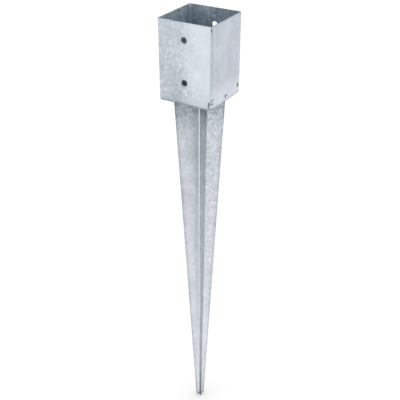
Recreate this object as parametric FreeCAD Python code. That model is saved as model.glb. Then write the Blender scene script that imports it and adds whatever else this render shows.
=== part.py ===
"""Drive-in anchor spike for a square timber post, welded from bent sheet steel.

The frame: the origin is on the axis at the socket's bottom edge, which is the ground line once
the spike is driven in. +Z runs up the post. -Y is the front wall and +Y the rear wall, and these
two carry the bolt holes.
The socket and the spike are each two equal bent sheets, the second turned half a turn about Z.
The spike's fins point at the socket's corners, so they are drawn along X and Y and then turned.
"""
import FreeCAD, Part
import math
import os

Vector = FreeCAD.Vector

# Driving dimensions, mm
CLEAR_WIDTH = 101.0  # inside width of the socket, for a post of 100 x 100
SHEET = 2.0  # thickness of the bent sheets
BEND_INNER = 2.0  # inside radius of every bend
SOCKET_HEIGHT = 145.0  # bottom edge to rim
TOTAL_LENGTH = 900.0  # rim to tip
PLATE_THICKNESS = 3.0
PLATE_RECESS = 7.0  # socket's bottom edge up to the plate's underside
PLATE_PLAY = 0.1  # gap between the plate's edge and a wall
PLATE_CORNER_CUT = 6.0  # cut off the plate's corners, so zinc and water drain
TAB_WIDTH = 9.0  # tabs that locate the plate in two walls
TAB_DROP = 0.4  # plate's top face down to a tab's, so that nothing of a wall is over the post seat
TAB_PLAY = 0.2
TAB_HEADROOM = 1.2  # gap over the tab

# Bolt holes through the front and rear walls
BOLT_RADIUS = 5.5
BOLT_SETBACK = 30.0  # from the rim and from the post seat to the hole's centre

# Drain openings: a slot in the free end of one wall, and a short one beside the bend of the other
CORNER_SLOT_WIDTH = 2.2
CORNER_SLOT_HEIGHT = 11.0
CORNER_SLOT_INSET = 3.8  # the wall's free end to the slot's centre
CORNER_SLOT_RISE = 3.5  # socket's bottom edge to the slot's lower end
BEND_SLOT_WIDTH = 4.0
BEND_SLOT_HEIGHT = 7.5
BEND_SLOT_INSET = 8.5  # outer face of the bend's far wall to the slot's centre
BEND_SLOT_RISE = 11.2

# Spike
FIN_REACH_TOP = 48.0  # from the axis to a fin's edge, at the socket's bottom edge
FIN_REACH_TIP = 8.5
BLADE_GAP = 0.05  # between the two blades' backs, at the axis

# Welds
SEAM_WIDTH = 4.4
SEAM_HEIGHT = 0.8
SEAM_EDGE_MARGIN = 0.2  # corner edge to the bead's side
SEAM_FOOT = (8.0, 1.4, 20.0)  # wider tack at the bottom: width, height, length
SEAM_HEAD = (7.0, 1.2, 10.0)  # wider tack at the rim
SEAM_END_MARGIN = 0.5
CROWN_SHARE = 0.55  # of a fillet weld's leg, where its bulging face is highest; 0.5 is flat
PLATE_WELD_LEG = 3.5
PLATE_WELD_LENGTH = 40.0
ROOT_WELD_LEG = 4.0
ROOT_WELD_START = 10.0  # from the axis
ROOT_WELD_LENGTH = 32.0
SPINE_WELD_REACH = 5.4  # from the axis along a fin
SPINE_WELD_LENGTH = 30.0
SPINE_WELD_COUNT = 5
SPINE_WELD_PITCH = 150.0
SPINE_WELD_FIRST = 45.0  # plate's underside to the first stitch's upper end
SPINE_ROOT_ANGLE = math.radians(-30)  # where a stitch's root ends on a blade's bend

# Sizes that follow
OUTER_HALF = CLEAR_WIDTH / 2 + SHEET
INNER_HALF = CLEAR_WIDTH / 2
BEND_OUTER = BEND_INNER + SHEET
SOCKET_BOTTOM = 0.0
SOCKET_RIM = SOCKET_BOTTOM + SOCKET_HEIGHT
PLATE_UNDERSIDE = SOCKET_BOTTOM + PLATE_RECESS
POST_SEAT = PLATE_UNDERSIDE + PLATE_THICKNESS
SPIKE_TIP = SOCKET_RIM - TOTAL_LENGTH
BLADE_LENGTH = PLATE_UNDERSIDE - SPIKE_TIP
FIN_SLOPE = (FIN_REACH_TOP - FIN_REACH_TIP) / (SOCKET_BOTTOM - SPIKE_TIP)
FIN_REACH_PLATE = FIN_REACH_TIP + FIN_SLOPE * BLADE_LENGTH
# Distance from the axis to a fin's outer face, so that the blades' rounded backs all but touch there
BACK_OFFSET = BEND_OUTER * (1 - math.sqrt(0.5)) - BLADE_GAP / 2 * math.sqrt(0.5)
OVERSHOOT = 1.0  # how far a cutting tool runs past what it cuts

Z_AXIS = Vector(0, 0, 1)
ORIGIN = Vector(0, 0, 0)


def half_turn(shape):
    """The same shape turned half a turn about Z."""
    turned = shape.copy()
    turned.rotate(ORIGIN, Z_AXIS, 180)
    return turned


def onto_diagonal(shape):
    """Turn a shape drawn along X and Y so that its X arm points at the socket's right corner."""
    turned = shape.copy()
    turned.rotate(ORIGIN, Z_AXIS, 45)
    return turned


def closed_prism(edges, height):
    """Extrude a closed outline of edges along Z."""
    wire = Part.Wire(edges)
    return Part.Face(wire).extrude(Vector(0, 0, height))


def line(start, end):
    """A straight edge."""
    return Part.LineSegment(start, end).toShape()


def arc_through(start, middle, end):
    """A circular edge through three points."""
    return Part.Arc(start, middle, end).toShape()


def corner_arc(centre, radius, from_degrees, to_degrees):
    """A circular edge in the XY plane, at the centre's height."""
    points = []
    for degrees in (from_degrees, (from_degrees + to_degrees) / 2, to_degrees):
        angle = math.radians(degrees)
        points.append(centre + Vector(radius * math.cos(angle), radius * math.sin(angle), 0))
    return arc_through(*points)


def bent_sheet(corner, x_end, y_end, bottom, height):
    """An angle of sheet with a rounded bend.

    corner is where the outer faces would meet, with the arms running towards +X and +Y from it,
    as far as x_end and y_end.
    """
    base = Vector(corner.x, corner.y, bottom)
    centre = base + Vector(BEND_OUTER, BEND_OUTER, 0)
    x_outer = Vector(x_end, corner.y, bottom)
    x_inner = Vector(x_end, corner.y + SHEET, bottom)
    y_outer = Vector(corner.x, y_end, bottom)
    y_inner = Vector(corner.x + SHEET, y_end, bottom)
    edges = [
        line(x_outer, base + Vector(BEND_OUTER, 0, 0)),
        corner_arc(centre, BEND_OUTER, 270, 180),
        line(base + Vector(0, BEND_OUTER, 0), y_outer),
        line(y_outer, y_inner),
        line(y_inner, base + Vector(SHEET, BEND_OUTER, 0)),
        corner_arc(centre, BEND_INNER, 180, 270),
        line(base + Vector(BEND_OUTER, SHEET, 0), x_inner),
        line(x_inner, x_outer),
    ]
    return closed_prism(edges, height)


def upright_slot(width, height, along, centre_on_wall, bottom):
    """A cutter for a round-ended upright slot through one wall.

    along is the unit vector through the wall, and centre_on_wall a point on the slot's axis.
    """
    radius = width / 2
    depth = 2 * (SHEET + OVERSHOOT)
    across = Z_AXIS.cross(along)
    start = centre_on_wall - along * (depth / 2)
    low = Vector(start.x, start.y, bottom + radius)
    high = Vector(start.x, start.y, bottom + height - radius)
    side = across * radius
    edges = [
        line(low - side, high - side),
        arc_through(high - side, high + Z_AXIS * radius, high + side),
        line(high + side, low + side),
        arc_through(low + side, low - Z_AXIS * radius, low - side),
    ]
    wire = Part.Wire(edges)
    return Part.Face(wire).extrude(along * depth)


def bolt_hole(height):
    """A cutter for one bolt hole through the front wall."""
    start = Vector(0, -OUTER_HALF - OVERSHOOT, height)
    return Part.makeCylinder(BOLT_RADIUS, SHEET + 2 * OVERSHOOT, start, Vector(0, 1, 0))


def tab_slot():
    """A cutter for the slot in the left wall that takes the base plate's tab."""
    width = TAB_WIDTH + 2 * TAB_PLAY
    height = TAB_PLAY + PLATE_THICKNESS - TAB_DROP + TAB_HEADROOM
    start = Vector(-OUTER_HALF - OVERSHOOT, -width / 2, PLATE_UNDERSIDE - TAB_PLAY)
    return Part.makeBox(SHEET + 2 * OVERSHOOT, width, height, start)


def socket_shell_front():
    """Front and left walls of the socket.

    The front wall runs to the front corner, over the other shell's edge. The left wall stops
    short, against the inner face of the other shell's rear wall.
    """
    corner = Vector(-OUTER_HALF, -OUTER_HALF, 0)
    shell = bent_sheet(corner, OUTER_HALF, INNER_HALF, SOCKET_BOTTOM, SOCKET_HEIGHT)
    slot_x = OUTER_HALF - CORNER_SLOT_INSET
    wall_middle = OUTER_HALF - SHEET / 2
    slot_y = -OUTER_HALF + BEND_SLOT_INSET
    cutters = [
        bolt_hole(POST_SEAT + BOLT_SETBACK),
        bolt_hole(SOCKET_RIM - BOLT_SETBACK),
        tab_slot(),
        upright_slot(
            CORNER_SLOT_WIDTH,
            CORNER_SLOT_HEIGHT,
            Vector(0, 1, 0),
            Vector(slot_x, -wall_middle, 0),
            SOCKET_BOTTOM + CORNER_SLOT_RISE,
        ),
        upright_slot(
            BEND_SLOT_WIDTH,
            BEND_SLOT_HEIGHT,
            Vector(1, 0, 0),
            Vector(-wall_middle, slot_y, 0),
            SOCKET_BOTTOM + BEND_SLOT_RISE,
        ),
    ]
    for cutter in cutters:
        shell = shell.cut(cutter)
    return shell


def base_plate():
    """Square plate across the socket, with cut corners and a tab into each side wall."""
    half = INNER_HALF - PLATE_PLAY
    cut = half - PLATE_CORNER_CUT
    outline = [(half, -cut), (half, cut), (cut, half), (-cut, half)]
    outline += [(-x, -y) for x, y in outline]
    points = [Vector(x, y, PLATE_UNDERSIDE) for x, y in outline]
    edges = [line(a, b) for a, b in zip(points, points[1:] + points[:1])]
    plate = closed_prism(edges, PLATE_THICKNESS)
    # One bar across the plate makes both tabs
    start = Vector(-OUTER_HALF, -TAB_WIDTH / 2, PLATE_UNDERSIDE)
    tabs = Part.makeBox(2 * OUTER_HALF, TAB_WIDTH, PLATE_THICKNESS - TAB_DROP, start)
    return plate.fuse(tabs).removeSplitter()


def fin_square(reach, height):
    """A square outline whose sides lie at the fins' reach."""
    corners = [Vector(reach, reach, height), Vector(-reach, reach, height)]
    corners += [Vector(-reach, -reach, height), Vector(reach, -reach, height)]
    return Part.makePolygon(corners + corners[:1])


def blade_front():
    """Left and front fins of the spike: one sheet bent to a right angle and cut to a taper."""
    corner = Vector(-BACK_OFFSET, -BACK_OFFSET, 0)
    reach = FIN_REACH_PLATE + OVERSHOOT
    angle = bent_sheet(corner, reach, reach, SPIKE_TIP, BLADE_LENGTH)
    taper = Part.makeLoft(
        [fin_square(FIN_REACH_TIP, SPIKE_TIP), fin_square(FIN_REACH_PLATE, PLATE_UNDERSIDE)],
        True,
        True,
    )
    blade = angle.common(taper)
    # The arms along +X and +Y are turned to the left and front corners
    return half_turn(onto_diagonal(blade))


def bead(width, height, bottom, length):
    """A weld bead along Z on the right wall, over the joint with the front wall's end."""
    side = -OUTER_HALF + SEAM_EDGE_MARGIN
    start = Vector(OUTER_HALF, side, bottom)
    end = Vector(OUTER_HALF, side + width, bottom)
    crown = Vector(OUTER_HALF + height, side + width / 2, bottom)
    return closed_prism([line(start, end), arc_through(start, crown, end)], length)


def seam_weld_front():
    """The bead that closes the front corner, with a wider tack at each end."""
    foot_width, foot_height, foot_length = SEAM_FOOT
    head_width, head_height, head_length = SEAM_HEAD
    bottom = SOCKET_BOTTOM + SEAM_END_MARGIN
    top = SOCKET_RIM - SEAM_END_MARGIN
    run = bead(SEAM_WIDTH, SEAM_HEIGHT, bottom, top - bottom)
    foot = bead(foot_width, foot_height, bottom, foot_length)
    head = bead(head_width, head_height, top - head_length, head_length)
    return run.fuse([foot, head]).removeSplitter()


def fillet_weld(leg, length):
    """A fillet weld along X from the origin, in the corner of a wall at y = 0 and a ceiling at z = 0.

    Its legs run towards +Y and -Z.
    """
    corner = Vector(0, 0, 0)
    on_ceiling = Vector(0, leg, 0)
    on_wall = Vector(0, 0, -leg)
    crown = Vector(0, leg * CROWN_SHARE, -leg * CROWN_SHARE)
    edges = [line(on_wall, corner), line(corner, on_ceiling)]
    edges.append(arc_through(on_ceiling, crown, on_wall))
    wire = Part.Wire(edges)
    return Part.Face(wire).extrude(Vector(length, 0, 0))


def plate_weld(quarter_turns):
    """Fillet weld between the base plate's underside and a wall.

    quarter_turns counts the walls from the front one, anticlockwise seen from above.
    """
    weld = fillet_weld(PLATE_WELD_LEG, PLATE_WELD_LENGTH)
    weld.translate(Vector(-PLATE_WELD_LENGTH / 2, -INNER_HALF, PLATE_UNDERSIDE))
    weld.rotate(ORIGIN, Z_AXIS, 90 * quarter_turns)
    return weld


def root_weld(quarter_turns):
    """The two fillet welds between one fin and the base plate's underside.

    quarter_turns counts the fins from the right one, anticlockwise seen from above. The fin lies
    a little to one side of the axis, and every second fin lies to the other side.
    """
    inner_face = fillet_weld(ROOT_WELD_LEG, ROOT_WELD_LENGTH)
    inner_face.translate(Vector(ROOT_WELD_START, SHEET - BACK_OFFSET, PLATE_UNDERSIDE))
    back_face = fillet_weld(ROOT_WELD_LEG, ROOT_WELD_LENGTH).mirror(ORIGIN, Vector(0, 1, 0))
    back_face.translate(Vector(ROOT_WELD_START, -BACK_OFFSET, PLATE_UNDERSIDE))
    pair = Part.makeCompound([inner_face, back_face])
    if quarter_turns % 2:
        pair = pair.mirror(ORIGIN, Vector(0, 1, 0))
    pair.rotate(ORIGIN, Z_AXIS, 90 * quarter_turns)
    return onto_diagonal(pair)


def spine_stitch():
    """One stitch weld in the groove between the blades' backs, drawn for arms along +X and -Y."""
    arc_centre = Vector(BACK_OFFSET - BEND_OUTER, BEND_OUTER - BACK_OFFSET, 0)
    root = arc_centre + Vector(
        BEND_OUTER * math.cos(SPINE_ROOT_ANGLE), BEND_OUTER * math.sin(SPINE_ROOT_ANGLE), 0
    )
    middle_angle = SPINE_ROOT_ANGLE / 2
    middle = arc_centre + Vector(
        BEND_OUTER * math.cos(middle_angle), BEND_OUTER * math.sin(middle_angle), 0
    )
    tangent = arc_centre + Vector(BEND_OUTER, 0, 0)
    side = Vector(BACK_OFFSET, SPINE_WELD_REACH, 0)

    def across(point):
        """The same point on the other blade."""
        return Vector(point.y, point.x, 0)

    crown_reach = (BACK_OFFSET + SPINE_WELD_REACH) * CROWN_SHARE
    crown = Vector(crown_reach, crown_reach, 0)
    edges = [
        line(side, tangent),
        arc_through(tangent, middle, root),
        line(root, across(root)),
        arc_through(across(root), across(middle), across(tangent)),
        line(across(tangent), across(side)),
        arc_through(across(side), crown, side),
    ]
    stitch = closed_prism(edges, SPINE_WELD_LENGTH)
    stitch.rotate(ORIGIN, Z_AXIS, -90)
    return stitch


def spine_weld_right():
    """The row of stitches in the groove that faces right and front."""
    stitches = []
    for index in range(SPINE_WELD_COUNT):
        top = PLATE_UNDERSIDE - SPINE_WELD_FIRST - index * SPINE_WELD_PITCH
        stitch = spine_stitch()
        stitch.translate(Vector(0, 0, top - SPINE_WELD_LENGTH))
        stitches.append(stitch)
    return onto_diagonal(Part.makeCompound(stitches))


def build():
    """Every node of the object, by name."""
    nodes = {
        "socket_shell_front": socket_shell_front(),
        "base_plate": base_plate(),
        "blade_front": blade_front(),
        "seam_weld_front": seam_weld_front(),
        "spine_weld_right": spine_weld_right(),
    }
    nodes["socket_shell_rear"] = half_turn(nodes["socket_shell_front"])
    nodes["blade_rear"] = half_turn(nodes["blade_front"])
    nodes["seam_weld_rear"] = half_turn(nodes["seam_weld_front"])
    nodes["spine_weld_left"] = half_turn(nodes["spine_weld_right"])
    for turns, wall in enumerate(("front", "right", "rear", "left")):
        nodes["plate_weld_" + wall] = plate_weld(turns)
    for turns, fin in enumerate(("right", "rear", "left", "front")):
        nodes["root_weld_" + fin] = root_weld(turns)
    return nodes


def main():
    """Write one STEP file per node."""
    os.makedirs("parts", exist_ok=True)
    for name, shape in build().items():
        shape.exportStep("parts/" + name + ".step")
        print(name, len(shape.Solids), "solids", round(shape.Volume), "mm3", shape.isValid())


main()
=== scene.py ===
"""Looks of a drive-in post anchor spike: folded galvanised sheets, weld beads, floor, light and camera.

Every length is in metres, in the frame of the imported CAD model. The origin is on the axis at the
socket's bottom edge, +Z runs up the post, and -Y is towards the front wall. The main faces and
edges are read from the CAD nodes' boxes, and holes, slots and tapers are as wide as they are there.
"""
import logging
import math
import random
from collections.abc import Sequence
from dataclasses import dataclass, field, fields, replace
from enum import Enum

import bmesh
import bpy
from mathutils import Matrix, Vector, geometry, kdtree, noise


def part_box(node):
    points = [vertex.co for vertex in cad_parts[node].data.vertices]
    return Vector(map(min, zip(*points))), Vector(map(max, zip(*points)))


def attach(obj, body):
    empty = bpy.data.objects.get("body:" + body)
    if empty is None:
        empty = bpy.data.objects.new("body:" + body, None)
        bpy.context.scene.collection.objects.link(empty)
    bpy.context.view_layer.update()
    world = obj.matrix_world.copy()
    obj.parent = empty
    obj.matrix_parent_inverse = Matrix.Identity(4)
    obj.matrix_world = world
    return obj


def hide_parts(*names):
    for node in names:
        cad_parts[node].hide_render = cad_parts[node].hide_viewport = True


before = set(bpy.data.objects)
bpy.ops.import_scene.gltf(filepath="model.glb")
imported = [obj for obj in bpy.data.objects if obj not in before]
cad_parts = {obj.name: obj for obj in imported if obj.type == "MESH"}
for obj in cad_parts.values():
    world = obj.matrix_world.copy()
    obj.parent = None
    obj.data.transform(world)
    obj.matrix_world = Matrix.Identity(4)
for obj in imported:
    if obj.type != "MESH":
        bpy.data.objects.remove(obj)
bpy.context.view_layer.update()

LOG = logging.getLogger("post_anchor_spike")
MM = 0.001
BODY = "root"

Colour = tuple[float, float, float]
Point2 = tuple[float, float]
Pair = tuple[float, float]
Socket = bpy.types.NodeSocket
Feed = bpy.types.NodeSocket | float


class Axis(Enum):
    """An axis of the frame, as an index into a point."""

    X = 0
    Y = 1
    Z = 2


class Slot(Enum):
    """The material slots."""

    SOCKET = "galvanised_socket"
    PLATE = "galvanised_plate"
    SPIKE = "galvanised_spike"
    WELD = "galvanised_weld"


class Side(Enum):
    """The four walls, in quarter turns anticlockwise from the front one, seen from above."""

    FRONT = 0
    RIGHT = 1
    REAR = 2
    LEFT = 3

    def turn(self, offset: float = 0.0) -> Matrix:
        """The rotation about Z from the front side to this one, and on by an offset in radians."""
        return Matrix.Rotation(self.value * math.pi / 2 + offset, 4, "Z")


def span(node: str, axis: Axis) -> tuple[float, float]:
    """Measure a CAD node along an axis, to a hundredth of a millimetre.

    Args:
        node: The node's name.
        axis: The axis to measure along.

    Returns:
        The node's lowest and highest coordinate.
    """
    low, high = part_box(node)
    return round(low[axis.value], 5), round(high[axis.value], 5)


SHEET = 2.0 * MM
WALL_FACE = span("socket_shell_front", Axis.X)[1]
WALL_INSIDE = WALL_FACE - SHEET
RIM = span("socket_shell_front", Axis.Z)[1]
UNDERSIDE, SEAT = span("base_plate", Axis.Z)
PLATE_EDGE = span("base_plate", Axis.Y)[1]
SPIKE_TIP, SPIKE_TOP = span("blade_front", Axis.Z)
SEAM_FOOT, SEAM_HEAD = span("seam_weld_front", Axis.Z)
FIN_BACK = 1.154 * MM  # from the axis to the plane of a fin's outer face
FIN_TURN = math.radians(-45.0)  # from the middle of a wall to the fin that is named after it


# ---------------------------------------------------------------------------------------------
# Shader node groups
# ---------------------------------------------------------------------------------------------


class Bench:
    """Adds nodes to one node tree, with the sockets set or linked by name."""

    def __init__(self, tree: bpy.types.NodeTree) -> None:
        """Keep the tree.

        Args:
            tree: The material's or group's node tree.
        """
        self.tree = tree

    def add(
        self, kind: str, sockets: dict[str | int, object] | None = None, **settings: object
    ) -> bpy.types.Node:
        """Add a node.

        Args:
            kind: The node's type name.
            sockets: Input name or index to a value, or to an output socket to link.
            **settings: Properties of the node.

        Returns:
            The new node.
        """
        node = self.tree.nodes.new(kind)
        for name, value in settings.items():
            setattr(node, name, value)
        for key, value in (sockets or {}).items():
            if isinstance(value, Socket):
                self.tree.links.new(value, node.inputs[key])
            else:
                node.inputs[key].default_value = value
        return node

    def calc(self, operation: str, *values: Feed) -> Socket:
        """Work something out with a Math node.

        Args:
            operation: The node's operation.
            *values: Its operands, numbers or output sockets.

        Returns:
            The result.
        """
        return self.add("ShaderNodeMath", dict(enumerate(values)), operation=operation).outputs[0]

    def centred(self, value: Feed) -> Socket:
        """Move a range of 0 to 1 to one of -0.5 to 0.5."""
        return self.calc("SUBTRACT", value, 0.5)

    def vector(self, operation: str, sockets: dict[str | int, object]) -> Socket:
        """The result of a Vector Math node."""
        return self.add("ShaderNodeVectorMath", sockets, operation=operation).outputs[0]

    def remap(self, value: Feed, low: float, high: float, to_low: float, to_high: float) -> Socket:
        """Change a value's range, clamped and smooth at both ends.

        Args:
            value: What to change.
            low: Start of its range.
            high: End of its range.
            to_low: What the start becomes.
            to_high: What the end becomes.

        Returns:
            The changed value.
        """
        sockets = {"Value": value, 1: low, 2: high, 3: to_low, 4: to_high}
        return self.add("ShaderNodeMapRange", sockets, interpolation_type="SMOOTHSTEP").outputs[0]

    def wandered(self, place: Socket, reach: Feed, scale: float) -> Socket:
        """Move a position about with a noise, so that what is drawn there gets irregular.

        Args:
            place: The position.
            reach: How far it moves.
            scale: The noise's scale.

        Returns:
            The moved position.
        """
        wobble = self.add("ShaderNodeTexNoise", {"Vector": place, "Scale": scale}).outputs[1]
        shift = self.vector("SUBTRACT", {0: wobble, 1: (0.5, 0.5, 0.5)})
        return self.vector("ADD", {0: place, 1: self.vector("SCALE", {0: shift, "Scale": reach})})

    def ramp(self, share: Feed, stops: Sequence[tuple[float, Colour]]) -> Socket:
        """Look a colour up on a ramp.

        Args:
            share: Where to look, from 0 to 1.
            stops: (position, colour) pairs in order.

        Returns:
            The colour.
        """
        made = self.add("ShaderNodeValToRGB", {"Fac": share})
        elements = made.color_ramp.elements
        while len(elements) < len(stops):
            elements.new(0.5)
        for element, (position, colour) in zip(elements, stops):
            element.position = position
            element.color = (*colour, 1.0)
        return made.outputs[0]

    def multiplied(self, factor: Feed, first: Socket, second: Socket | Colour) -> Socket:
        """Multiply two colours.

        Args:
            factor: How far the second one acts, from 0 to 1.
            first: The colour to change.
            second: What to multiply it by.

        Returns:
            The changed colour.
        """
        if not isinstance(second, Socket):
            second = (*second, 1.0)
        sockets = {0: factor, 6: first, 7: second}
        made = self.add("ShaderNodeMix", sockets, data_type="RGBA", blend_type="MULTIPLY")
        return made.outputs[2]


class EffectGroup(Bench):
    """A shader node group under construction."""

    def __init__(self, name: str, inputs: dict[str, float | None], outputs: tuple[str, ...]) -> None:
        """Make the group and its sockets.

        Args:
            name: The group's name.
            inputs: Each input's name and default number, or None for a vector.
            outputs: Names of the outputs, which are all numbers.
        """
        super().__init__(bpy.data.node_groups.new(name, "ShaderNodeTree"))
        interface = self.tree.interface
        for label, default in inputs.items():
            kind = "NodeSocketVector" if default is None else "NodeSocketFloat"
            made = interface.new_socket(name=label, in_out="INPUT", socket_type=kind)
            if default is not None:
                made.default_value = default
        for label in outputs:
            interface.new_socket(name=label, in_out="OUTPUT", socket_type="NodeSocketFloat")
        self.given = self.add("NodeGroupInput").outputs
        self._sink = self.add("NodeGroupOutput")

    def put_out(self, **results: Socket) -> bpy.types.NodeTree:
        """Finish the group.

        Args:
            **results: Each output's name and what it puts out.

        Returns:
            The group's tree.
        """
        for label, result in results.items():
            self.tree.links.new(result, self._sink.inputs[label])
        return self.tree


class ZincEffects:
    """The effects that every galvanised finish is mixed from, each a node group built once."""

    def __init__(self) -> None:
        """Build the groups."""
        self.cloud = self._cloud()
        self.spangle = self._spangle()
        self.streak = self._streak()
        self.speck = self._speck()

    @staticmethod
    def _cloud() -> bpy.types.NodeTree:
        """Make the cloudy patches where the zinc froze at different speeds.

        Returns:
            The group, whose Tone is 0 to 1.
        """
        inputs = {"Vector": None, "Scale": 30.0, "Detail": 5.0, "Warp": 0.6, "Contrast": 0.5}
        group = EffectGroup("zinc_cloud", inputs, ("Tone",))
        given = group.given
        sockets = {name: given[name] for name in ("Vector", "Scale", "Detail")}
        sockets |= {"Roughness": 0.58, "Distortion": given["Warp"]}
        patch = group.add("ShaderNodeTexNoise", sockets).outputs[0]
        spread = group.calc("MULTIPLY", group.centred(patch), given["Contrast"])
        tone = group.add("ShaderNodeClamp", {0: group.calc("ADD", spread, 0.5)}).outputs[0]
        return group.put_out(Tone=tone)

    @staticmethod
    def _spangle() -> bpy.types.NodeTree:
        """Make the zinc crystals: cells of slightly different tone, with shallow borders.

        Returns:
            The group, whose Tone is 0 to 1, and whose Border is 1 along a cell's edge.
        """
        wander_scale, border_width = 90.0, 0.12
        inputs = {"Vector": None, "Scale": 200.0, "Wander": 0.004}
        group = EffectGroup("zinc_spangle", inputs, ("Tone", "Border"))
        place = group.wandered(group.given["Vector"], group.given["Wander"], wander_scale)
        sockets = {"Vector": place, "Scale": group.given["Scale"]}
        cells = group.add("ShaderNodeTexVoronoi", sockets).outputs["Color"]
        tone = group.add("ShaderNodeSeparateColor", {0: cells}).outputs[0]
        edges = group.add("ShaderNodeTexVoronoi", sockets, feature="DISTANCE_TO_EDGE")
        border = group.remap(edges.outputs["Distance"], 0.0, border_width, 1.0, 0.0)
        return group.put_out(Tone=tone, Border=border)

    @staticmethod
    def _streak() -> bpy.types.NodeTree:
        """Make the upright runs, left as the part was drawn out of the zinc.

        Returns:
            The group, whose Tone is 0 to 1.
        """
        faint, strong = 0.3, 0.7
        inputs = {"Vector": None, "Across": 230.0, "Along": 9.0}
        group = EffectGroup("zinc_streak", inputs, ("Tone",))
        across = group.given["Across"]
        sockets = {"X": across, "Y": across, "Z": group.given["Along"]}
        stretch = group.add("ShaderNodeCombineXYZ", sockets).outputs[0]
        place = group.vector("MULTIPLY", {0: group.given["Vector"], 1: stretch})
        runs = group.add("ShaderNodeTexNoise", {"Vector": place, "Scale": 1.0, "Detail": 4.0})
        return group.put_out(Tone=group.remap(runs.outputs[0], faint, strong, 0.0, 1.0))

    @staticmethod
    def _speck() -> bpy.types.NodeTree:
        """Make round specks; Amount is the share of cells with one, and Size scales them all.

        Returns:
            The group, whose Mask is 1 in the middle of a speck and 0 round it.
        """
        wander_scale, smallest, range_of_sizes = 160.0, 0.12, 0.2
        inputs = {"Vector": None, "Scale": 260.0, "Amount": 0.1, "Size": 1.0, "Wander": 0.0}
        group = EffectGroup("zinc_speck", inputs, ("Mask",))
        given = group.given
        place = group.wandered(given["Vector"], given["Wander"], wander_scale)
        cells = group.add("ShaderNodeTexVoronoi", {"Vector": place, "Scale": given["Scale"]})
        dice = group.add("ShaderNodeSeparateColor", {0: cells.outputs["Color"]}).outputs
        chosen = group.calc("LESS_THAN", dice[0], given["Amount"])
        size = group.calc("MULTIPLY_ADD", dice[1], range_of_sizes, smallest)
        size = group.calc("MULTIPLY", size, given["Size"])
        core = group.calc("SUBTRACT", 1.0, group.calc("DIVIDE", cells.outputs["Distance"], size))
        dot = group.add("ShaderNodeClamp", {0: core}).outputs[0]
        return group.put_out(Mask=group.calc("MULTIPLY", dot, chosen))


DEEP_CAST = (0.925, 0.995, 1.02)
BLUISH_CAST = (0.97, 1.01, 0.995)
LAVENDER_CAST = (1.005, 0.98, 1.01)
TONE_RANGE = (-1.0, 1.5)
TONE_STOPS = (0.0, 0.4, 0.6, 0.8, 1.0)


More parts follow.
